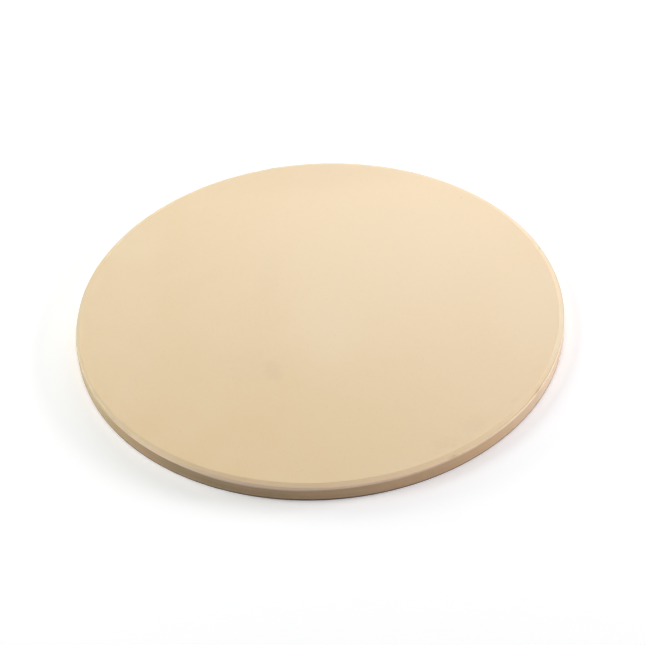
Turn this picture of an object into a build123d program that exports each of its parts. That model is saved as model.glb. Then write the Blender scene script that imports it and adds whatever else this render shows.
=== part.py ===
from build123d import *

import os

# Round pizza stone: one slab of cordierite clay, pressed flat and fired, in millimetres.
# The origin is the centre of the resting face, and +Z points up through the baking face.

# Slab
stone_diameter = 380
stone_thickness = 14

# Sloping band around the baking face
band_width = 4.1
band_drop = 1.1

# Steep facet below the band, where the rim was fettled before firing
facet_width = 0.2
facet_drop = 2.6

# Small bevel that lifts the side wall off the surface the stone lies on
foot_width = 0.7
foot_height = 2

# Softening of the corners, largest where hands and peels meet the stone
band_corner_radius = 1.5
facet_corner_radius = 0.4
wall_corner_radius = 2
foot_corner_radius = 0.4

# Radii and heights that follow from the sizes above
stone_radius = stone_diameter / 2
facet_radius = stone_radius - facet_width
baking_radius = facet_radius - band_width
resting_radius = stone_radius - foot_width
band_foot = stone_thickness - band_drop
facet_foot = band_foot - facet_drop


def rim_corner(radius, height, corner_radius):
    """Round the corner of the half section that lies at this radius and height."""
    corner = half_section.vertices().sort_by_distance((radius, height))[0]
    fillet(corner, radius=corner_radius)


# Baking stone, turned from the half section of the slab
with BuildPart() as baking_stone:
    with BuildSketch(Plane.XZ) as half_section:
        with BuildLine() as outline:
            Polyline(
                (0, 0),
                (resting_radius, 0),
                (stone_radius, foot_height),
                (stone_radius, facet_foot),
                (facet_radius, band_foot),
                (baking_radius, stone_thickness),
                (0, stone_thickness),
                close=True,
            )
        make_face()
        rim_corner(baking_radius, stone_thickness, band_corner_radius)
        rim_corner(facet_radius, band_foot, facet_corner_radius)
        rim_corner(stone_radius, facet_foot, wall_corner_radius)
        rim_corner(resting_radius, 0, foot_corner_radius)
    revolve(axis=Axis.Z)

baking_stone.part.label = "baking_stone"

os.makedirs("parts", exist_ok=True)
export_step(baking_stone.part, "parts/baking_stone.step")
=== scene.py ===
import math
import random
from collections import namedtuple

import bpy
from bpy.props import FloatProperty, FloatVectorProperty, IntProperty, PointerProperty
from bpy.types import Operator, Panel, PropertyGroup
from mathutils import Matrix, Vector, noise


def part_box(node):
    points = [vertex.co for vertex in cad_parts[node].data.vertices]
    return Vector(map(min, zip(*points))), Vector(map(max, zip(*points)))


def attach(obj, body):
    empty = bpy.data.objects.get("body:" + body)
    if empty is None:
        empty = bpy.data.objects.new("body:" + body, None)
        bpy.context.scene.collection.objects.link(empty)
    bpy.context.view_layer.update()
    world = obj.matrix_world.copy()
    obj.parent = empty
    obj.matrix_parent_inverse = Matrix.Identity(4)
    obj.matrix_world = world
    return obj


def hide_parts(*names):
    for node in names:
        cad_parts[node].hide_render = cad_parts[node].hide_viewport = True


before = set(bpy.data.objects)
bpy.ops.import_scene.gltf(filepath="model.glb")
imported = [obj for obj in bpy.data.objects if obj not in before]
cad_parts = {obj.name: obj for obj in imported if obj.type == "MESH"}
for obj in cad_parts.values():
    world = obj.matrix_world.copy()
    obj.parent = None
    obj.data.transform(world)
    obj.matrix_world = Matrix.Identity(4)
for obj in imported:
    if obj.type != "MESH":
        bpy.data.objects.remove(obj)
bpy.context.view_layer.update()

bl_info = {
    "name": "Pizza Stone",
    "version": (1, 0, 0),
    "blender": (4, 5, 0),
    "location": "3D View > Sidebar > Pizza Stone",
    "description": "Builds a fired clay pizza stone with its finish, on a pale studio floor",
    "category": "Add Mesh",
}

# The stone's box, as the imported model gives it, in metres
CAD_NODE = "baking_stone"
CAD_BODY = "root"
CAD_LOW, CAD_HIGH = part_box(CAD_NODE)

MM = 0.001

# The picture that the camera's lens and aim are worked out for
PICTURE_PIXELS = 645
SENSOR_WIDTH_MM = 36.0

# The rim's half section: how far its two uneven places reach each way, in degrees, and its steps
LOW_CUT_REACH = 36
FETTLE_REACH = 55
CORNER_STEPS = 5
STRAIGHT_STEPS = 5

# Scales of the unevenness, in waves per metre along the rim and up the wall
SLOW_SCALE = 14
SLOW_HEIGHT_SCALE = 130
LINE_SCALE = 9
LINE_HEIGHT_SCALE = 1900
WARP_SCALE = 11
CHIP_SCALE = 900

# Chips: the smallest as a share of the largest, how much most of them lean to small, and their form
SMALLEST_CHIP_WIDTH = 0.25
SMALLEST_CHIP_DEPTH = 0.2
SMALL_CHIP_BIAS = 2.5
CHIP_FLATNESS = 1.3
CHIP_ROUGHNESS = 0.5
CHIP_FALL_OFF = 1.5

# Rings of the flat faces, from the rim inwards
EDGE_RING = 0.3 * MM
INNERMOST_RING = 2 * MM
RING_STEP = 2.2
SMALLEST_STEP = 1.2 * MM
HALVING_SPACE = 2.6 * MM
HALVING_GROWTH = 0.10
FEWEST_POINTS = 12
WARP_FADE = 10 * MM
UNDERSIDE_WARP = 0.4

# How strongly each layer of the clay, and of the painted light and shade, shows, from 0 to 1
MOTTLE_SHARE = 0.16
GRAIN_SHARE = 0.16
GRIT_SHARE = 0.22
PATCH_SHARE = 0.45
STREAK_SHARE = 0.12
BOUNCE_LIGHT_SHARE = 0.8
FOOT_SHADE_SHARE = 0.92
BAND_SHADE_SHARE = 0.2
LINE_SHADE_SHARE = 0.28
RUBBED_HIGHLIGHT_SHARE = 0.3

# The clay's skin
SMOOTHEST = 0.42
ROUGHEST = 0.54
DRY_ROUGHNESS = 0.2
SKIN_SPECULAR = 0.9
BUMP_STRENGTH = 0.3
BUMP_HEIGHT = 0.06 * MM

# Heights below and above the whole stone, for strips that are open at one end
BELOW_STONE = -MM
ABOVE_STONE = 1.0


def length(name, text, default):
    """A size in metres, shown in the scene's length unit."""
    return FloatProperty(name=name, description=text, default=default, min=0.0, subtype="DISTANCE",
                         unit="LENGTH", precision=5)


def colour(name, text, default):
    """A linear colour."""
    return FloatVectorProperty(name=name, description=text, default=default, min=0.0, max=1.0,
                               size=3, subtype="COLOR")


def power(name, text, default):
    """Power of a light in watts."""
    return FloatProperty(name=name, description=text, default=default, min=0.0, unit="POWER")


class StoneSizes(PropertyGroup):
    """Sizes of the slab and of its small irregularities."""

    diameter: length("Diameter", "Width of the slab across its side wall", CAD_HIGH.x - CAD_LOW.x)
    thickness: length("Thickness", "Height of the baking face", CAD_HIGH.z - CAD_LOW.z)
    band_width: length("Band Width", "Width of the sloping band around the baking face", 3.8 * MM)
    band_drop: length("Band Drop", "How far the sloping band falls where it is shallowest", 1.0 * MM)
    band_lean: length("Band Lean", "How much deeper the band is cut on one side", 0.40 * MM)
    lean_angle: FloatProperty(name="Lean Angle", description="Direction in which the band is deepest",
                              default=math.radians(-80), subtype="ANGLE", unit="ROTATION")
    facet_width: length("Facet Width", "Width of the steep facet below the band", 0.1 * MM)
    facet_drop: length("Facet Drop", "Height of the steep facet below the band", 2.6 * MM)
    fettle_width: length("Fettle Width", "Facet width where the arris was worked down most", 1.4 * MM)
    fettle_angle: FloatProperty(name="Fettle Angle", description="Direction in which the facet is widest",
                                default=math.radians(-145), subtype="ANGLE", unit="ROTATION")
    low_cut: length("Low Cut", "How much lower the facet reaches where it was cut lowest", 0.9 * MM)
    low_cut_angle: FloatProperty(name="Low Cut Angle", description="Direction in which the facet is lowest",
                                 default=math.radians(-107), subtype="ANGLE", unit="ROTATION")
    foot_width: length("Foot Width", "How far the foot bevel draws the wall in", 0.2 * MM)
    foot_height: length("Foot Height", "Height of the foot bevel", 1.5 * MM)
    band_corner: length("Band Corner", "Rounding where the band meets the baking face", 1.0 * MM)
    facet_corner: length("Facet Corner", "Rounding between the band and the facet", 0.18 * MM)
    wall_corner: length("Wall Corner", "Rounding between the facet and the side wall", 2.0 * MM)
    foot_corner: length("Foot Corner", "Rounding where the foot bevel meets the resting face", 0.25 * MM)
    wander: length("Wander", "Depth of the slow unevenness along the rim", 0.05 * MM)
    drag: length("Drag", "Depth of the drag lines around the side wall", 0.03 * MM)
    warp: length("Warp", "Depth of the slow unevenness of the baking face", 0.10 * MM)
    chip_depth: length("Chip Depth", "Depth of the deepest chips in the arris", 0.45 * MM)
    chip_width: length("Chip Width", "Width of the widest chips in the arris", 2.6 * MM)
    chips: IntProperty(name="Chips", description="Number of small chips in the arris", default=22, min=0)
    around: IntProperty(name="Around", description="Mesh points around the rim", default=1440, min=90)
    seed: IntProperty(name="Seed", description="Seed of the chips' places", default=7)


class StoneColours(PropertyGroup):
    """Linear colours of the fired clay, of what lies on it, and of the painted light and shade."""

    clay: colour("Clay", "Main colour of the fired clay", (0.912, 0.695, 0.432))
    # Painted light: the band made brighter at the front
    clean: colour("Clean", "Clay of the band where no hands have greyed it", (0.985, 0.722, 0.448))
    # Also used for painted sheen on the baking face at the back and right
    pale: colour("Pale", "Lighter patches and pale grains", (0.965, 0.810, 0.600))
    # Browner clay with painted shade: darkens the side wall, and the band and arris at the sides
    brown_and_shade: colour("Toasted", "Browner clay of the side wall", (0.410, 0.258, 0.128))
    # Painted light: bounce light from the floor, a warmer, lighter strip low on the side wall
    bounce_light: colour("Singed", "Warmer clay low on the side wall", (0.480, 0.285, 0.140))
    # Painted shade: contact shadow on the foot bevel
    foot_shade: colour("Soot", "Dark dirt on the foot bevel", (0.095, 0.055, 0.030))
    # Rubbed wear and painted highlight: the pale, greyer strip along the arris
    rubbed_highlight: colour("Rubbed", "Clay rubbed pale along the arris", (0.900, 0.675, 0.490))
    ash: colour("Ash", "Greyer clay of the wall where ash has settled", (0.420, 0.400, 0.330))
    oiled: colour("Oiled", "Yellower clay of the wall where oil has soaked in", (0.410, 0.370, 0.150))
    # Painted shade: a greyer, darker arris and line at both sides, holding down the side lights' highlights
    arris_shade: colour("Stale", "Greyed clay of the arris at both sides", (0.400, 0.330, 0.180))
    # Painted shade: the front of the baking face yellower and darker, with less sheen than the back
    front_shade: colour("Warm", "Yellower clay of the baking face towards the front", (0.820, 0.580, 0.220))
    # Greener clay with painted shade: the side wall darker at the left front
    olive_and_shade: colour("Olive", "Darker and greener clay of the wall", (0.200, 0.170, 0.050))
    # Painted light: the side wall lighter at the front
    front_wall_light: colour("Rosy", "Lighter and warmer clay of the wall at the front", (0.860, 0.530, 0.270))
    # Painted shadow: the darkest contact shadow, at the front of the foot
    front_foot_shadow: colour("Burnt", "Darkest dirt on the foot at the front", (0.035, 0.020, 0.012))
    # Painted sheen: the band paler and greyer where light glances off it
    band_sheen: colour("Hazed", "Band where fine flour dust has settled", (0.720, 0.760, 0.680))
    shelf: colour("Shelf", "Clay of the resting face, as it lay on the kiln shelf", (0.640, 0.450, 0.265))
    scuff: colour("Scuff", "Dark scuffs and handling marks", (0.330, 0.235, 0.150))
    grit: colour("Grit", "Dark grains in the clay", (0.420, 0.300, 0.185))


class StudioSettings(PropertyGroup):
    """Camera, lights and floor."""

    lens: FloatProperty(name="Lens", description="Focal length in millimetres", default=89.3, min=1.0)
    elevation: FloatProperty(name="Elevation", description="Camera height above the floor as an angle",
                             default=math.radians(41.59), subtype="ANGLE", unit="ROTATION")
    roll: FloatProperty(name="Roll", description="Camera roll", default=math.radians(-3.69),
                        subtype="ANGLE", unit="ROTATION")
    distance: length("Distance", "From the middle of the resting face to the camera", 1.2574)
    aim_right: FloatProperty(name="Aim Right", description="Pixels from the picture's middle to the stone's",
                             default=-2.95)
    aim_down: FloatProperty(name="Aim Down", description="Pixels from the picture's middle to the stone's",
                            default=-2.88)
    floor_radius: length("Floor Radius", "Radius of the round floor", 4.0)
    floor_colour: colour("Floor Colour", "Colour of the floor", (0.935, 0.937, 0.955))
    floor_glow: FloatProperty(name="Floor Glow", description="Light that the backlit table gives",
                              default=0.275, min=0.0)
    near_floor: length("Near Floor", "From the middle to where the floor starts to fade to the backdrop",
                       0.65)
    backdrop_colour: colour("Backdrop Colour", "Colour of the far floor and of the air behind it",
                            (0.92, 0.92, 0.92))
    box_width: length("Box Width", "Width of a far soft box", 0.8)
    box_distance: length("Box Distance", "From the stone to a far soft box", 1.8)
    near_width: length("Near Width", "Width of the near soft box", 0.6)
    near_distance: length("Near Distance", "From the stone to the near soft box", 1.0)
    right_tint: colour("Right Tint", "Colour of the light on the right", (0.985, 0.965, 1.0))
    left_tint: colour("Left Tint", "Colour of the lights on the left", (0.985, 1.0, 0.94))
    plain_tint: colour("Plain Tint", "Colour of the other lights", (1.0, 1.0, 1.0))
    right_power: power("Right Power", "Low soft box on the right", 40.5)
    left_power: power("Left Power", "Low soft box on the left, a little behind", 20.8)
    fill_power: power("Fill Power", "Middle soft box on the left", 11.8)
    top_power: power("Top Power", "Soft box overhead", 4.4)
    back_power: power("Back Power", "Near soft box behind the stone", 1.9)
    side_power: power("Side Power", "Near soft box behind and to the right", 1.8)


def arc_points(before, corner, after, radius, steps):
    """Points of the round that replaces a corner of the half section."""
    to_before = (before - corner).normalized()
    to_after = (after - corner).normalized()
    half_angle = to_before.angle(to_after) / 2
    centre = corner + (to_before + to_after).normalized() * radius / math.sin(half_angle)
    start = corner + to_before * radius / math.tan(half_angle) - centre
    end = corner + to_after * radius / math.tan(half_angle) - centre
    sweep = start.angle_signed(end)
    return [centre + Matrix.Rotation(-sweep * k / steps, 2) @ start for k in range(steps + 1)]


def straight_points(start, end, count):
    """Points between two points of the half section, without its ends."""
    return [start.lerp(end, k / (count + 1)) for k in range(1, count + 1)]


def lobe_share(angle, middle, half_width):
    """Share from 0 to 1 that is 1 at the middle angle and fades to 0 at the half width, in degrees."""
    edge_cosine = math.cos(math.radians(half_width))
    return max(0.0, (math.cos(angle - middle) - edge_cosine) / (1 - edge_cosine))


def rim_points(sizes, angle):
    """Half section of the rim from the baking face to the resting face, as (radius, height)."""
    radius = sizes.diameter / 2
    baking_radius = radius - sizes.facet_width - sizes.band_width
    resting_radius = radius - sizes.foot_width
    low_cut = sizes.low_cut * lobe_share(angle, sizes.low_cut_angle, LOW_CUT_REACH)
    facet_foot = sizes.thickness - sizes.band_drop - sizes.facet_drop - low_cut
    fettle_share = lobe_share(angle, sizes.fettle_angle, FETTLE_REACH)
    extra_width = (sizes.fettle_width - sizes.facet_width) * fettle_share
    facet_radius = radius - sizes.facet_width - extra_width
    lean_share = 0.5 + 0.5 * math.cos(angle - sizes.lean_angle)
    band_drop = sizes.band_drop + sizes.band_lean * lean_share
    band_foot = sizes.thickness - (facet_radius - baking_radius) * band_drop / sizes.band_width
    corners = [
        (Vector((0, sizes.thickness)), 0.0),
        (Vector((baking_radius, sizes.thickness)), sizes.band_corner),
        (Vector((facet_radius, band_foot)), sizes.facet_corner),
        (Vector((radius, facet_foot)), sizes.wall_corner),
        (Vector((radius, sizes.foot_height)), sizes.foot_corner),
        (Vector((resting_radius, 0)), sizes.foot_corner),
        (Vector((0, 0)), 0.0),
    ]
    points = []
    for before, (corner, rounding), after in zip(corners, corners[1:], corners[2:]):
        arc = arc_points(before[0], corner, after[0], rounding, CORNER_STEPS)
        if points:
            points += straight_points(points[-1], arc[0], STRAIGHT_STEPS)
        points += arc
    return points


def chip_places(sizes):
    """Places, widths and depths of the chips in the arris, from a fixed seed."""
    dice = random.Random(sizes.seed)
    chips = []
    for _ in range(sizes.chips):
        size_share = dice.random() ** SMALL_CHIP_BIAS
        angle = dice.uniform(0, math.tau)
        width_share = SMALLEST_CHIP_WIDTH + (1 - SMALLEST_CHIP_WIDTH) * size_share
        depth_share = SMALLEST_CHIP_DEPTH + (1 - SMALLEST_CHIP_DEPTH) * size_share
        chips.append((angle, sizes.chip_width * width_share, sizes.chip_depth * depth_share))
    return chips


def unit_noise(place):
    """Smooth noise from 0 to 1."""
    return 0.5 + 0.5 * noise.noise(place)


def build_slab(sizes):
    """Mesh of the slab: dense rings at the rim, and rings of fewer points towards the middle."""
    radius = sizes.diameter / 2
    columns = [rim_points(sizes, math.tau * k / sizes.around) for k in range(sizes.around)]
    chips = chip_places(sizes)
    arris_height = sizes.thickness - sizes.band_drop
    baking_radius = radius - sizes.facet_width - sizes.band_width
    verts = []
    faces = []

    def cut_depth(angle, point):
        """How far the fired rim lies inside its nominal shape at this place."""
        side = Vector((math.cos(angle), math.sin(angle), 0))
        place = side * radius
        slow = unit_noise(place * SLOW_SCALE + Vector((0, 0, point.y * SLOW_HEIGHT_SCALE)))
        lines = unit_noise(Vector((place.x * LINE_SCALE, place.y * LINE_SCALE,
                                   point.y * LINE_HEIGHT_SCALE)))
        wall_share = min(1.0, max(0.0, (arris_height - point.y) / sizes.facet_drop))
        from_top = min(1.0, (point.x - baking_radius) / sizes.band_width)
        from_foot = min(1.0, point.y / sizes.foot_height)
        depth = (sizes.wander * slow + sizes.drag * lines * wall_share) * max(0.0, from_top) * from_foot
        for chip_angle, width, chip_depth in chips:
            along = (angle - chip_angle + math.pi) % math.tau - math.pi
            reach = Vector((along * radius, (point.y - arris_height) * CHIP_FLATNESS)).length
            if reach < width:
                broken_at = place * CHIP_SCALE + Vector((0, 0, point.y * CHIP_SCALE))
                rough = 1 + CHIP_ROUGHNESS * noise.noise(broken_at)
                depth += chip_depth * rough * (1 - (reach / width) ** 2) ** CHIP_FALL_OFF
        return depth

    def ring(count, ring_radius, height, offset=None):
        """Adds a ring of points, each moved by the offset's (outward, upward); returns their numbers."""
        start = len(verts)
        for k in range(count):
            angle = math.tau * k / count
            shift = offset(angle) if offset else Vector((0, 0))
            r = ring_radius + shift.x
            verts.append((r * math.cos(angle), r * math.sin(angle), height + shift.y))
        return list(range(start, start + count))

    def bridge(outer, inner, upward):
        """Faces between two rings; the inner ring has as many points as the outer one, or half."""
        count = len(inner)
        for k in range(count):
            after = (k + 1) % count
            if len(outer) == count:
                loop = [[outer[k], outer[after], inner[after], inner[k]]]
            else:
                left, middle, right = outer[2 * k], outer[2 * k + 1], outer[(2 * k + 2) % len(outer)]
                loop = [[left, middle, inner[k]], [middle, right, inner[after]],
                        [middle, inner[after], inner[k]]]
            faces.extend(loop if upward else [f[::-1] for f in loop])

    def disc(edge, edge_radius, height, upward):
        """Rings from the rim's edge to the middle of a flat face, each softly uneven."""
        ring_radius = edge_radius - EDGE_RING
        count = len(edge)
        outer = ring(count, ring_radius, height)
        bridge(edge, outer, upward)
        while count > FEWEST_POINTS:
            spacing = math.tau * ring_radius / count
            ring_radius -= max(spacing * RING_STEP, SMALLEST_STEP)
            halving_space = HALVING_SPACE + (edge_radius - ring_radius) * HALVING_GROWTH
            if math.tau * ring_radius / count < halving_space and count % 2 == 0:
                count //= 2
            if ring_radius < INNERMOST_RING:
                break

            def sag(angle, r=ring_radius):
                """How far the flat face lies inside the slab at this place."""
                place = Vector((r * math.cos(angle), r * math.sin(angle), height))
                fade = min(1.0, (edge_radius - r) / WARP_FADE)
                low = sizes.warp * fade * unit_noise(place * WARP_SCALE)
                return Vector((0, -low if upward else low * UNDERSIDE_WARP))

            inner = ring(count, ring_radius, height, sag)
            bridge(outer, inner, upward)
            outer = inner
        verts.append((0, 0, height))
        middle = len(verts) - 1
        for k in range(len(outer)):
            loop = [outer[k], outer[(k + 1) % len(outer)], middle]
            faces.append(loop if upward else loop[::-1])

    steps = len(columns[0])
    for index in range(steps):
        for k, column in enumerate(columns):
            angle = math.tau * k / sizes.around
            point = column[index]
            if 0 < index < steps - 1:
                ahead = column[index + 1] - column[index - 1]
                inward = Vector((ahead.y, -ahead.x)).normalized()
                point = point + inward * cut_depth(angle, point)
            verts.append((point.x * math.cos(angle), point.x * math.sin(angle), point.y))
    rings = [list(range(index * sizes.around, (index + 1) * sizes.around)) for index in range(steps)]
    for upper, lower in zip(rings, rings[1:]):
        bridge(lower, upper, True)
    disc(rings[0], columns[0][0].x, sizes.thickness, True)
    disc(rings[-1], columns[0][-1].x, 0.0, False)

    mesh = bpy.data.meshes.new("pizza_stone")
    mesh.from_pydata(verts, [], faces)
    mesh.validate()
    mesh.update()
    for polygon in mesh.polygons:
        polygon.use_smooth = True
    return bpy.data.objects.new("pizza_stone", mesh)


class NodeTree:
    """Small helper that adds nodes to a tree and links them by name."""

    def __init__(self, tree):
        self.tree = tree

    def add(self, kind, links=None, **settings):
        """A new node with its settings made and its sockets set or linked."""
        node = self.tree.nodes.new(kind)
        for key, value in settings.items():
            setattr(node, key, value)
        for socket, value in (links or {}).items():
            self.put(node.inputs[socket], value)
        return node

    def group(self, tree, values):
        """A node of a node group with its sockets set; returns its outputs."""
        node = self.add("ShaderNodeGroup", node_tree=tree)
        for socket, value in values.items():
            self.put(node.inputs[socket], value)
        return node.outputs

    def put(self, socket, value):
        """Link a socket to another one, or set its value."""
        if isinstance(value, bpy.types.NodeSocket):
            self.tree.links.new(value, socket)
        else:
            socket.default_value = value

    def math(self, operation, first, second=0.0):
        """Result of a math operation on one or two values."""
        return self.add("ShaderNodeMath", {0: first, 1: second}, operation=operation).outputs[0]

    def ramp(self, value, low, high, out_low=0.0, out_high=1.0):
        """Smooth step from one value to another between two limits."""
        node = self.add("ShaderNodeMapRange", {"Value": value, "From Min": low, "From Max": high,
                                               "To Min": out_low, "To Max": out_high},
                        interpolation_type="SMOOTHSTEP")
        return node.outputs["Result"]

    def mix(self, factor, first, second):
        """Two colours mixed; the node's colour sockets share their names, so they go by number."""
        node = self.add("ShaderNodeMix", {0: factor}, data_type="RGBA")
        self.put(node.inputs[6], first)
        self.put(node.inputs[7], second)
        return node.outputs[2]

    def paint(self, base, colour, *masks):
        """The base with a colour laid over it as far as all the masks together let it show."""
        share = masks[0]
        for mask in masks[1:]:
            share = self.math("MULTIPLY", share, mask)
        return self.mix(share, base, (*colour, 1))

    def noise(self, vector, scale, detail=2.0, roughness=0.5):
        """Smooth noise around a half."""
        node = self.add("ShaderNodeTexNoise", {"Vector": vector, "Scale": scale, "Detail": detail,
                                               "Roughness": roughness})
        return node.outputs["Fac"]


def shader_group(name, inputs, outputs):
    """A new shader node group with named sockets; returns the group and its helper and ends."""
    group = bpy.data.node_groups.new(name, "ShaderNodeTree")
    for socket_name, kind, default in inputs:
        socket = group.interface.new_socket(socket_name, in_out="INPUT", socket_type=kind)
        if default is not None:
            socket.default_value = default
    for socket_name, kind in outputs:
        group.interface.new_socket(socket_name, in_out="OUTPUT", socket_type=kind)
    nodes = NodeTree(group)
    entry = nodes.add("NodeGroupInput").outputs
    leave = nodes.add("NodeGroupOutput").inputs
    return group, nodes, entry, leave


FLOAT = "NodeSocketFloat"
VECTOR = "NodeSocketVector"


def soft_mark_group():
    """Mask of one soft oval mark on the slab, with a ragged edge."""
    group, nodes, entry, leave = shader_group("Soft Mark", [
        ("Place", VECTOR, None), ("Centre X", FLOAT, 0.0), ("Centre Y", FLOAT, 0.0),
        ("Length", FLOAT, 0.02), ("Width", FLOAT, 0.02), ("Turn", FLOAT, 0.0),
        ("Ragged", FLOAT, 0.3), ("Strength", FLOAT, 1.0)], [("Mask", FLOAT)])
    parts = nodes.add("ShaderNodeSeparateXYZ", {0: entry["Place"]}).outputs
    flat = nodes.add("ShaderNodeCombineXYZ", {
        0: nodes.math("SUBTRACT", parts[0], entry["Centre X"]),
        1: nodes.math("SUBTRACT", parts[1], entry["Centre Y"])}).outputs[0]
    turned = nodes.add("ShaderNodeVectorRotate", {"Vector": flat, "Angle": entry["Turn"]},
                       rotation_type="Z_AXIS", invert=True).outputs[0]
    sides = nodes.add("ShaderNodeSeparateXYZ", {0: turned}).outputs
    across = nodes.math("DIVIDE", sides[0], entry["Length"])
    along = nodes.math("DIVIDE", sides[1], entry["Width"])
    reach = nodes.math("SQRT", nodes.math("ADD", nodes.math("MULTIPLY", across, across),
                                          nodes.math("MULTIPLY", along, along)))
    blotches = nodes.noise(entry["Place"], scale=160.0, detail=4.0, roughness=0.65)
    torn = nodes.math("MULTIPLY", nodes.math("SUBTRACT", blotches, 0.5), entry["Ragged"])
    torn_reach = nodes.math("ADD", reach, nodes.math("MULTIPLY", torn, 2.0))
    mask = nodes.ramp(torn_reach, low=1.0, high=0.25)
    nodes.put(leave["Mask"], nodes.math("MULTIPLY", mask, entry["Strength"]))
    return group


def height_strip_group():
    """Mask of a strip around the rim between two heights, with ragged edges."""
    group, nodes, entry, leave = shader_group("Height Strip", [
        ("Place", VECTOR, None), ("Low", FLOAT, 0.0), ("High", FLOAT, 0.01),
        ("Blur", FLOAT, 0.0005), ("Ragged", FLOAT, 0.0004), ("Strength", FLOAT, 1.0)], [("Mask", FLOAT)])
    height = nodes.add("ShaderNodeSeparateXYZ", {0: entry["Place"]}).outputs[2]
    blotches = nodes.noise(entry["Place"], scale=90.0, detail=3.0)
    wobble = nodes.math("MULTIPLY", nodes.math("SUBTRACT", blotches, 0.5), entry["Ragged"])
    level = nodes.math("ADD", height, wobble)
    rise = nodes.ramp(level, nodes.math("SUBTRACT", entry["Low"], entry["Blur"]), entry["Low"])
    fall = nodes.ramp(level, entry["High"], nodes.math("ADD", entry["High"], entry["Blur"]), 1.0, 0.0)
    both = nodes.math("MULTIPLY", rise, fall)
    nodes.put(leave["Mask"], nodes.math("MULTIPLY", both, entry["Strength"]))
    return group


def clay_grain_group():
    """Grain of fired clay: fine grit, grog grains, slow mottling and the height for the bump."""
    group, nodes, entry, leave = shader_group("Clay Grain", [
        ("Place", VECTOR, None), ("Grain Scale", FLOAT, 2600.0), ("Grog Scale", FLOAT, 700.0),
        ("Mottle Scale", FLOAT, 28.0)], [
        ("Grain", FLOAT), ("Grit", FLOAT), ("Mottle", FLOAT), ("Height", FLOAT)])
    fine = nodes.noise(entry["Place"], entry["Grain Scale"], detail=3.0, roughness=0.6)
    grog = nodes.add("ShaderNodeTexVoronoi", {"Vector": entry["Place"], "Scale": entry["Grog Scale"]},
                     feature="F1").outputs

    # Every cell holds one grain, and fewer than one in ten of them is dark
    pick = nodes.add("ShaderNodeSeparateColor", {0: grog["Color"]}).outputs[0]
    grain_dot = nodes.ramp(grog["Distance"], low=0.34, high=0.16)
    dark_dot = nodes.math("MULTIPLY", grain_dot, nodes.ramp(pick, low=0.90, high=0.94))
    mottle = nodes.noise(entry["Place"], entry["Mottle Scale"], detail=6.0, roughness=0.70)
    nodes.put(leave["Grain"], fine)
    nodes.put(leave["Grit"], dark_dot)
    nodes.put(leave["Mottle"], mottle)
    pit = nodes.math("MULTIPLY", dark_dot, -0.6)
    nodes.put(leave["Height"], nodes.math("ADD", fine, pit))
    return group


def drag_streaks_group():
    """Fine level streaks that the turning tool leaves around the side wall."""
    group, nodes, entry, leave = shader_group("Drag Streaks", [
        ("Place", VECTOR, None), ("Around Scale", FLOAT, 14.0), ("Height Scale", FLOAT, 1500.0)],
        [("Streaks", FLOAT)])
    parts = nodes.add("ShaderNodeSeparateXYZ", {0: entry["Place"]}).outputs
    stretched = nodes.add("ShaderNodeCombineXYZ", {
        0: nodes.math("MULTIPLY", parts[0], entry["Around Scale"]),
        1: nodes.math("MULTIPLY", parts[1], entry["Around Scale"]),
        2: nodes.math("MULTIPLY", parts[2], entry["Height Scale"])}).outputs[0]
    level_noise = nodes.noise(stretched, scale=1.0, detail=3.0, roughness=0.6)
    nodes.put(leave["Streaks"], nodes.ramp(level_noise, low=0.4, high=0.75))
    return group


# Soft marks on the stone: middle, half length and half width in millimetres, turn in degrees
Mark = namedtuple("Mark", "name x y length width turn ragged strength")

# On the baking face
PALE_MARKS = (
    # Painted sheen: a broad paler area towards the back
    Mark("sheen_back", 70, 70, 210, 150, 0, 0.3, 0.22),
    Mark("worn_middle", 6, -2, 50, 92, 0, 0.4, 0.24),
    Mark("flour_spot_back", 143, 98, 6, 5, 0, 0.9, 0.22),
    Mark("flour_streak", 150, 2, 18, 7, -60, 1.1, 0.16),
    Mark("flour_spot_right", 158, -50, 7, 6, 0, 1.0, 0.20),
    Mark("flour_spot_inner", 144, -52, 9, 5, 20, 1.1, 0.14),
    Mark("pale_left", -160, 54, 16, 22, 0, 0.7, 0.12),
    # Painted sheen: a paler area at the right
    Mark("sheen_right", 170, -10, 60, 90, 0, 0.3, 0.28),
    Mark("worn_left", -160, 24, 45, 70, 0, 0.3, 0.18),
    Mark("worn_left_back", -152, 88, 40, 45, 0, 0.3, 0.24),
)
DARK_MARKS = (
    Mark("thumb_smudge", -38, -69, 11, 17, 12, 1.1, 0.08),
    Mark("smudge_halo", -50, -64, 30, 26, 0, 0.6, 0.03),
    Mark("patch_edge", -38, 40, 13, 58, -11, 1.2, 0.022),
    Mark("edge_smudge", 81, -157, 14, 10, 25, 0.9, 0.06),
    Mark("edge_smudge_right", 103, -140, 14, 11, 35, 0.9, 0.05),
    Mark("dark_spot", 138, -117, 5, 3, 30, 0.8, 0.06),
    Mark("speck", 125, 127, 1, 1, 0, 0.2, 0.25),
    # Painted shade: the far back of the baking face darkened
    Mark("painted_shade_back", 0, 180, 150, 45, 0, 0.3, 0.06),
)
# Painted shade towards the front of the baking face
FRONT_SHADE_MARKS = (
    Mark("shaded_front", -30, -150, 190, 110, 0, 0.3, 0.14),
)

# On the side wall and its foot
# Greener clay and painted shade on the wall at the left front
OLIVE_SHADE_MARKS = (
    Mark("olive_shade_left_front", -98, -163, 48, 42, 0, 0.3, 0.27),
)
# Painted contact shadow at the front of the foot
FRONT_FOOT_SHADOW_MARKS = (
    Mark("foot_shadow_front", -12, -188, 110, 60, 0, 0.3, 0.80),
)
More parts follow.
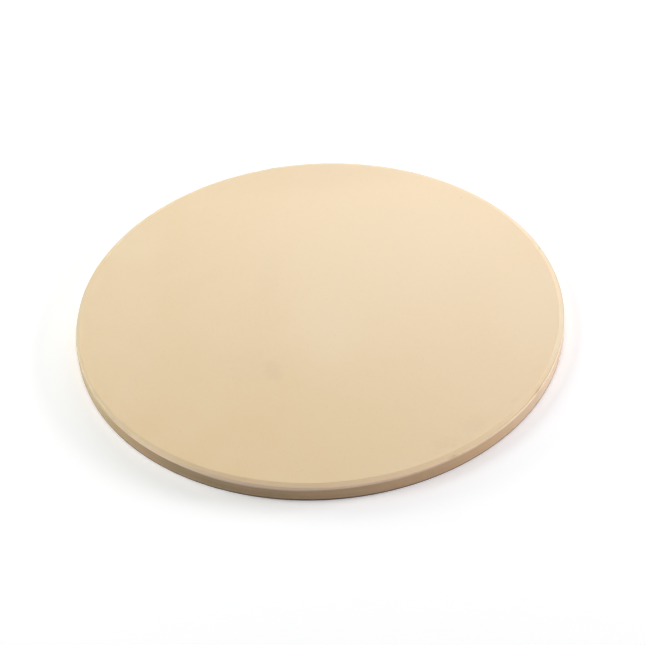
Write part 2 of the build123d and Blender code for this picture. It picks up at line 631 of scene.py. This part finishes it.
# Painted light on the side wall at the front
FRONT_WALL_LIGHT_MARKS = (
    Mark("lit_wall_front", 20, -188, 72, 30, 0, 0.4, 0.20),
)
WALL_MARKS = (
    Mark("dusted_left", -172, -84, 26, 30, 0, 0.8, 0.08),
    Mark("dusted_right", 168, -88, 22, 26, 0, 0.8, 0.08),
)
ASH_MARKS = (
    Mark("ash_right", 165, -95, 85, 85, 0, 0.3, 0.25),
)
OIL_MARKS = (
    Mark("oil_left", -172, -85, 70, 75, 0, 0.4, 0.24),
)

# On the sloping band, the arris and the facet below it
# Painted shade on the band and line at both sides
SIDE_SHADE_MARKS = (
    Mark("side_shade_left", -185, -50, 110, 150, 0, 0.2, 0.9),
    Mark("side_shade_right", 185, -60, 110, 150, 0, 0.2, 0.7),
)
# Painted shade on the arris and the line above it at the sides
ARRIS_SHADE_MARKS = (
    Mark("arris_shade_left", -178, -60, 80, 130, 0, 0.3, 0.48),
    Mark("arris_shade_right", 145, -123, 75, 80, 0, 0.3, 0.17),
    Mark("arris_shade_right_back", 184, 40, 45, 90, 0, 0.3, 0.40),
)
# Painted sheen on the band
BAND_SHEEN_MARKS = (
    Mark("band_sheen_left", -186, 6, 35, 55, 0, 0.3, 0.27),
    Mark("band_sheen_left_back", -165, 93, 35, 35, 0, 0.3, 0.16),
    Mark("band_sheen_back", 0, 120, 330, 220, 0, 0.2, 0.13),
    Mark("band_sheen_right_back", 178, 60, 45, 70, 0, 0.3, 0.24),
    Mark("band_sheen_right", 182, -40, 45, 85, 0, 0.3, 0.20),
)
# Painted light on the band at the front
LIT_BAND_MARKS = (
    Mark("lit_band_front", 0, -190, 140, 60, 0, 0.2, 0.9),
)
# Rubbed wear and painted highlight on the arris at the front
RUBBED_HIGHLIGHT_MARKS = (
    Mark("rubbed_highlight_front", -71, -176, 170, 170, 0, 0.1, 0.75),
)
LOW_CUT_MARKS = (
    Mark("cut_low", -56, -182, 85, 50, 17, 0.1, 0.6),
)
ARRIS_SCUFFS = (
    Mark("scuff_right", 156.5, -108, 6, 2, 55, 0.9, 0.45),
    Mark("scuff_back", -30, 187, 8, 3, 0, 0.9, 0.60),
    Mark("scuff_left", -184, -46, 4, 3, 0, 0.9, 0.30),
    Mark("scuff_front", 88, -168, 5, 2, 25, 0.9, 0.25),
)


def marks_mask(nodes, tree, place, marks):
    """Mask of several soft marks together, each one its own node."""
    total = None
    for item in marks:
        node = nodes.add("ShaderNodeGroup", node_tree=tree, label=item.name)
        for socket, value in (("Place", place), ("Centre X", item.x * MM), ("Centre Y", item.y * MM),
                              ("Length", item.length * MM), ("Width", item.width * MM),
                              ("Turn", math.radians(item.turn)), ("Ragged", item.ragged),
                              ("Strength", item.strength)):
            nodes.put(node.inputs[socket], value)
        mask = node.outputs["Mask"]
        total = mask if total is None else nodes.math("MAXIMUM", total, mask)
    return total


def fired_clay(sizes, colours):
    """The stone's one material: clay grain, a browner wall with painted shade, an arris paled by wear and
    painted highlight, painted contact shadow at the foot, painted light, shade and sheen, marks and bump.
    """
    material = bpy.data.materials.new("fired_clay")
    material.use_nodes = True
    nodes = NodeTree(material.node_tree)
    shader = material.node_tree.nodes["Principled BSDF"]
    place = nodes.add("ShaderNodeTexCoord").outputs["Object"]
    strip = height_strip_group()
    mark = soft_mark_group()

    def between(low, high, blur=0.5 * MM, ragged=0.4 * MM, strength=1.0):
        """Mask of the stone between two heights."""
        return nodes.group(strip, {"Place": place, "Low": low, "High": high, "Blur": blur,
                                   "Ragged": ragged, "Strength": strength})["Mask"]

    def marked(marks):
        """Mask of several soft marks."""
        return marks_mask(nodes, mark, place, marks)

    # Heights at which the parts of the rim end
    band_foot = sizes.thickness - sizes.band_drop
    lean_foot = band_foot - sizes.band_lean
    facet_foot = band_foot - sizes.facet_drop
    wall_top = lean_foot - 0.5 * MM

    # The clay itself: slow mottling, pale grains and dark grit
    grain = nodes.group(clay_grain_group(), {"Place": place})
    mottle = nodes.ramp(grain["Mottle"], low=0.30, high=0.72, out_high=MOTTLE_SHARE)
    pale_grain = nodes.ramp(grain["Grain"], low=0.45, high=0.72, out_high=GRAIN_SHARE)
    base = nodes.paint((*colours.clay, 1), colours.pale, mottle)
    base = nodes.paint(base, colours.pale, pale_grain)
    base = nodes.paint(base, colours.grit, grain["Grit"], GRIT_SHARE)

    # Marks of handling and firing on the baking face, with painted sheen towards the back and right and
    # painted shade at the far back and towards the front
    face = between(band_foot, ABOVE_STONE)
    for marks, tint in ((PALE_MARKS, colours.pale), (DARK_MARKS, colours.scuff), (FRONT_SHADE_MARKS, colours.front_shade)):
        base = nodes.paint(base, tint, marked(marks), face)

    # The resting face keeps the coarser skin of the kiln shelf, up to the foot bevel
    inner = nodes.add("ShaderNodeVectorMath", {0: place}, operation="LENGTH").outputs["Value"]
    resting_radius = sizes.diameter / 2 - sizes.foot_width
    inside = nodes.ramp(inner, low=resting_radius - MM, high=resting_radius - 2 * MM)
    under = nodes.math("MULTIPLY", inside, between(BELOW_STONE, 0.1 * MM, blur=0.2 * MM, ragged=0.0))
    patches = nodes.ramp(nodes.noise(place, scale=16.0, detail=5.0, roughness=0.6), low=0.3, high=0.7)
    shelf = nodes.paint((*colours.shelf, 1), colours.clay, patches, PATCH_SHARE)

    # The side wall is painted darker and browner than the baking face, partly browner clay and partly
    # painted shade, with dusty, ashen and oiled places, greener clay with painted shade at the left front,
    # painted light at the front, and drag streaks
    streaks = nodes.group(drag_streaks_group(), {"Place": place})["Streaks"]
    wall = between(BELOW_STONE, wall_top, blur=0.25 * MM, ragged=0.3 * MM)
    base = nodes.paint(base, colours.brown_and_shade, wall)
    for marks, tint in ((WALL_MARKS, colours.pale), (ASH_MARKS, colours.ash), (OIL_MARKS, colours.oiled),
                        (OLIVE_SHADE_MARKS, colours.olive_and_shade), (FRONT_WALL_LIGHT_MARKS, colours.front_wall_light)):
        base = nodes.paint(base, tint, marked(marks), wall)
    # Painted light: a warmer, lighter strip low on the side wall where the floor's bounce light falls
    bounce_light = between(BELOW_STONE, sizes.foot_height, blur=2.0 * MM, ragged=1.2 * MM, strength=BOUNCE_LIGHT_SHARE)
    base = nodes.paint(base, colours.bounce_light, bounce_light)
    base = nodes.paint(base, colours.pale, wall, STREAK_SHARE, streaks)

    # Painted contact shadow darkens the foot bevel, darkest of all at the front
    foot = between(BELOW_STONE, sizes.foot_height - 0.4 * MM, blur=0.6 * MM, ragged=0.5 * MM,
                   strength=FOOT_SHADE_SHARE)
    base = nodes.paint(base, colours.foot_shade, foot)
    heel = between(BELOW_STONE, sizes.foot_height - 0.5 * MM, blur=0.4 * MM)
    base = nodes.paint(base, colours.front_foot_shadow, marked(FRONT_FOOT_SHADOW_MARKS), heel)
    base = nodes.mix(under, base, shelf)

    # Painted shade darkens the band at both sides, and painted light brightens it at the front
    band = between(wall_top + 0.25 * MM, sizes.thickness - 0.25 * MM, blur=0.12 * MM, ragged=0.1 * MM)
    side_shade = marked(SIDE_SHADE_MARKS)
    base = nodes.paint(base, colours.brown_and_shade, side_shade, BAND_SHADE_SHARE, band)
    base = nodes.paint(base, colours.clean, band, marked(LIT_BAND_MARKS))

    # The arris is painted pale, partly rubbed wear and partly painted highlight, most of all where it was
    # worked down or cut low
    arris = between(facet_foot + 0.4 * MM, lean_foot, blur=0.2 * MM, ragged=0.2 * MM)
    # Share of rubbed wear and painted highlight on the arris
    worked = nodes.math("ADD", marked(RUBBED_HIGHLIGHT_MARKS), RUBBED_HIGHLIGHT_SHARE)
    base = nodes.paint(base, colours.rubbed_highlight, arris, worked)
    lower = between(facet_foot - sizes.low_cut + 0.4 * MM, facet_foot + 0.2 * MM, blur=0.4 * MM)
    base = nodes.paint(base, colours.rubbed_highlight, marked(LOW_CUT_MARKS), lower)

    # At the sides painted shade darkens and greys the line above it, and painted sheen pales the band
    line = between(lean_foot - 0.1 * MM, band_foot - 0.15 * MM, blur=0.3 * MM, ragged=0.3 * MM)
    base = nodes.paint(base, colours.brown_and_shade, side_shade, LINE_SHADE_SHARE, line)
    base = nodes.paint(base, colours.arris_shade, marked(ARRIS_SHADE_MARKS), nodes.math("MAXIMUM", arris, line))
    base = nodes.paint(base, colours.band_sheen, marked(BAND_SHEEN_MARKS), band)

    # A few scuffs sit on the arris itself
    edge = between(facet_foot + MM, band_foot)
    base = nodes.paint(base, colours.scuff, marked(ARRIS_SCUFFS), edge)

    nodes.put(shader.inputs["Base Color"], base)
    sheen = nodes.ramp(grain["Mottle"], low=0.3, high=0.8, out_low=SMOOTHEST, out_high=ROUGHEST)
    dry = nodes.math("MULTIPLY", nodes.math("MAXIMUM", wall, under), DRY_ROUGHNESS)
    nodes.put(shader.inputs["Roughness"], nodes.math("ADD", sheen, dry))
    shader.inputs["Specular IOR Level"].default_value = SKIN_SPECULAR
    bump = nodes.add("ShaderNodeBump", {"Height": nodes.math("ADD", grain["Height"], streaks),
                                        "Strength": BUMP_STRENGTH, "Distance": BUMP_HEIGHT})
    nodes.put(shader.inputs["Normal"], bump.outputs[0])
    return material


class STONE_OT_slab(Operator):
    """Build the fired slab and its clay"""

    bl_idname = "pizza_stone.slab"
    bl_label = "Baking Stone"

    def execute(self, context):
        sizes = context.scene.stone_sizes
        slab = build_slab(sizes)
        context.scene.collection.objects.link(slab)
        slab.data.materials.append(fired_clay(sizes, context.scene.stone_colours))
        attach(slab, CAD_BODY)
        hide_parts(CAD_NODE)
        return {"FINISHED"}


def add_floor(studio):
    """A round pale floor that the stone lies on, which fades to the backdrop far away."""
    bpy.ops.mesh.primitive_circle_add(vertices=96, radius=studio.floor_radius, fill_type="TRIFAN")
    floor = bpy.context.object
    floor.name = "studio_floor"
    material = bpy.data.materials.new("studio_floor")
    material.use_nodes = True
    shader = material.node_tree.nodes["Principled BSDF"]
    shader.inputs["Base Color"].default_value = (*studio.floor_colour, 1)
    shader.inputs["Roughness"].default_value = 0.9
    shader.inputs["Specular IOR Level"].default_value = 0.0
    shader.inputs["Emission Strength"].default_value = 1.0
    nodes = NodeTree(material.node_tree)
    place = nodes.add("ShaderNodeTexCoord").outputs["Object"]
    away = nodes.add("ShaderNodeVectorMath", {0: place}, operation="LENGTH").outputs["Value"]
    far_floor = 3 * studio.near_floor
    share = nodes.ramp(away, studio.near_floor, far_floor)
    near_glow = (studio.floor_glow, studio.floor_glow, studio.floor_glow, 1)
    nodes.put(shader.inputs["Emission Color"], nodes.paint(near_glow, studio.backdrop_colour, share))
    floor.data.materials.append(material)


def add_softbox(scene, name, watts, tint, width, distance, azimuth, elevation):
    """A square soft light that faces the stone from a direction in degrees and a distance."""
    light = bpy.data.lights.new(name, "AREA")
    light.shape = "SQUARE"
    light.size = width
    light.energy = watts
    light.color = tint
    lamp = bpy.data.objects.new(name, light)
    scene.collection.objects.link(lamp)
    turn = math.radians(azimuth)
    rise = math.radians(elevation)
    lamp.location = Vector((math.cos(rise) * math.cos(turn), math.cos(rise) * math.sin(turn),
                            math.sin(rise))) * distance
    lamp.rotation_euler = (-lamp.location).to_track_quat("-Z", "Y").to_euler()
    lamp.visible_camera = False


def add_air(scene, studio):
    """Air that shows pale behind the floor and lights nothing."""
    world = bpy.data.worlds.new("studio_air")
    world.use_nodes = True
    nodes = NodeTree(world.node_tree)
    background = world.node_tree.nodes["Background"]
    background.inputs["Color"].default_value = (*studio.backdrop_colour, 1)
    nodes.put(background.inputs["Strength"], nodes.add("ShaderNodeLightPath").outputs["Is Camera Ray"])
    scene.world = world


def add_camera(scene, studio):
    """A camera at the picture's viewing angle, with the stone a little off the picture's middle."""
    data = bpy.data.cameras.new("camera")
    data.sensor_fit = "HORIZONTAL"
    data.sensor_width = SENSOR_WIDTH_MM
    data.lens = studio.lens
    data.clip_start = 0.01
    camera = bpy.data.objects.new("camera", data)
    scene.collection.objects.link(camera)
    focal_pixels = studio.lens / SENSOR_WIDTH_MM * PICTURE_PIXELS
    back = Vector((0, -math.cos(studio.elevation), math.sin(studio.elevation)))
    right = Vector((1, 0, 0))
    upward = back.cross(right)
    level = Matrix((right, upward, back)).transposed()
    to_stone = Vector((studio.aim_right, -studio.aim_down, -focal_pixels)).normalized()
    turn = Vector((0, 0, -1)).rotation_difference(to_stone).to_matrix()
    aim = level @ Matrix.Rotation(studio.roll, 3, "Z") @ turn.inverted()
    camera.matrix_world = Matrix.Translation(back * studio.distance) @ aim.to_4x4()
    scene.camera = camera


class STONE_OT_stage(Operator):
    """Build the pale floor, the soft lights and the camera"""

    bl_idname = "pizza_stone.stage"
    bl_label = "Studio Stage"

    def execute(self, context):
        scene = context.scene
        studio = scene.studio_settings
        add_floor(studio)
        far = (studio.box_width, studio.box_distance)
        near = (studio.near_width, studio.near_distance)

        # Each soft box: power, tint, width and distance, direction and height in degrees
        for name, watts, tint, reach, azimuth, elevation in (
                ("right_box", studio.right_power, studio.right_tint, far, 0, 12),
                ("left_box", studio.left_power, studio.left_tint, far, 157, 12),
                ("fill_box", studio.fill_power, studio.left_tint, far, 180, 40),
                ("top_box", studio.top_power, studio.plain_tint, far, 90, 89.9),
                ("back_box", studio.back_power, studio.plain_tint, near, 90, 25),
                ("side_box", studio.side_power, studio.plain_tint, near, 60, 40)):
            add_softbox(scene, name, watts, tint, *reach, azimuth, elevation)
        add_air(scene, studio)
        scene.view_settings.view_transform = "Standard"
        add_camera(scene, studio)
        return {"FINISHED"}


class STONE_PT_sidebar(Panel):
    """Lists the pieces of the pizza stone and their settings"""

    bl_idname = "STONE_PT_sidebar"
    bl_label = "Pizza Stone"
    bl_space_type = "VIEW_3D"
    bl_region_type = "UI"
    bl_category = "Pizza Stone"

    def draw(self, context):
        layout = self.layout
        scene = context.scene
        for operator, settings in ((STONE_OT_slab, (scene.stone_sizes, scene.stone_colours)),
                                   (STONE_OT_stage, (scene.studio_settings,))):
            layout.operator(operator.bl_idname)
            for group in settings:
                column = layout.column(align=True)
                for name in group.__annotations__:
                    column.prop(group, name)


CLASSES = (StoneSizes, StoneColours, StudioSettings, STONE_OT_slab, STONE_OT_stage, STONE_PT_sidebar)


def register():
    for cls in CLASSES:
        bpy.utils.register_class(cls)
    bpy.types.Scene.stone_sizes = PointerProperty(type=StoneSizes)
    bpy.types.Scene.stone_colours = PointerProperty(type=StoneColours)
    bpy.types.Scene.studio_settings = PointerProperty(type=StudioSettings)


def unregister():
    del bpy.types.Scene.studio_settings
    del bpy.types.Scene.stone_colours
    del bpy.types.Scene.stone_sizes
    for cls in reversed(CLASSES):
        bpy.utils.unregister_class(cls)


def main():
    register()
    bpy.ops.pizza_stone.slab()
    bpy.ops.pizza_stone.stage()


if __name__ == "__main__":
    main()
